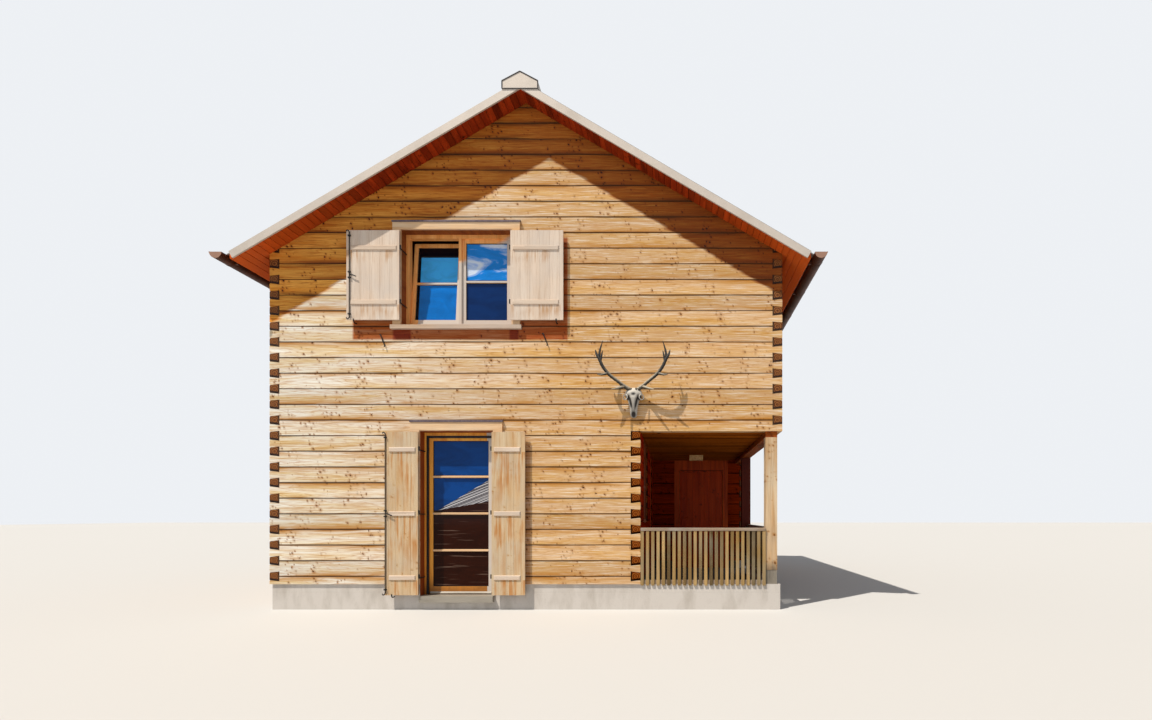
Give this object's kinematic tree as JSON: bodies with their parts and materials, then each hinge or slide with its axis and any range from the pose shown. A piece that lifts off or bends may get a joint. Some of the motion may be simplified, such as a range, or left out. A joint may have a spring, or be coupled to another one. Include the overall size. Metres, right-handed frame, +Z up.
{
  "type": "alpine chalet",
  "caption": "Two-storey log chalet with notched corners, a corner porch, shuttered openings and a metal saddle roof.",
  "frame": {"origin": "on the ground, under the middle of the house", "axes": "+X to the right seen from the front gable, +Y from the front gable to the back, +Z up"},
  "size_m": [8.382, 9.2, 7.4186],
  "materials": {
    "concrete": "cast, weathered",
    "floor_boards": "planed boards",
    "ceiling_boards": "stained boards",
    "spruce_logs": "hewn spruce, oiled",
    "roof_deck": "stained boards",
    "roof_metal": "coated sheet",
    "copper": "weathered copper brown",
    "joinery": "stained, satin",
    "glass": "clear",
    "shutter_boards": "planed boards, oiled",
    "iron": "black, matt",
    "sill_metal": "folded sheet",
    "post_wood": "weathered spruce",
    "rail_wood": "weathered spruce",
    "lamp": "opal shade",
    "door_boards": "stained planks",
    "bone": "bleached bone and antler"
  },
  "bodies": {
    "house": {"foundation": "concrete", "plinth_walls": "concrete", "ground_floor": "floor_boards", "porch_floor": "concrete", "upper_floor": "ceiling_boards", "front_wall_left": "spruce_logs", "front_wall_middle": "spruce_logs", "front_wall_band": "spruce_logs", "front_wall_upper_left": "spruce_logs", "front_wall_upper_right": "spruce_logs", "front_gable": "spruce_logs", "left_wall": "spruce_logs", "back_wall": "spruce_logs", "right_wall_lower": "spruce_logs", "right_wall_upper": "spruce_logs", "porch_wall_sill": "spruce_logs", "porch_wall_front": "spruce_logs", "porch_wall_middle": "spruce_logs", "porch_wall_back": "spruce_logs", "porch_back_left": "spruce_logs", "porch_back_right": "spruce_logs", "roof_deck_left": "roof_deck", "roof_deck_right": "roof_deck", "roof_sheets": "roof_metal", "ridge_cap": "roof_metal", "verges": "roof_metal", "gutters": "copper", "upper_window_frame": "joinery", "upper_window_sashes": "joinery", "upper_window_glass": "glass", "upper_shutters": "shutter_boards", "lintels": "spruce_logs", "casing_boards": "spruce_logs", "window_sill": "spruce_logs", "french_frame": "joinery", "french_sill": "sill_metal", "shutter_pintles": "iron", "porch_posts": "post_wood", "post_bases": "concrete", "porch_beam": "ceiling_boards", "porch_rails": "rail_wood", "porch_lamp": "lamp", "entrance_frame": "joinery", "store_door": "door_boards", "side_windows": "joinery", "side_glass": "glass", "slat_screens": "rail_wood", "deer_skull": "bone"},
    "french_door": {"french_door": "joinery", "french_glass": "glass"},
    "entrance_door": {"entrance_door": "door_boards"},
    "shutter_left": {"shutter_left": "shutter_boards"},
    "shutter_right": {"shutter_right": "shutter_boards"}
  },
  "joints": [
    {"name": "french_door_hinge", "type": "hinge", "parent": "house", "child": "french_door", "pos_m": [-1.442, -3.986, 0.208], "axis": [0, 0, 1], "range_deg": [0, 90]},
    {"name": "entrance_door_hinge", "type": "hinge", "parent": "house", "child": "entrance_door", "pos_m": [3.145, 0.189, 0.208], "axis": [0, 0, -1], "range_deg": [0, 90]},
    {"name": "shutter_left_hinge", "type": "hinge", "parent": "house", "child": "shutter_left", "pos_m": [-1.49, -4.268, 0], "axis": [0, 0, 1], "range_deg": [0, 180]},
    {"name": "shutter_right_hinge", "type": "hinge", "parent": "house", "child": "shutter_right", "pos_m": [-0.476, -4.268, 0], "axis": [0, 0, -1], "range_deg": [0, 180]}
  ]
}
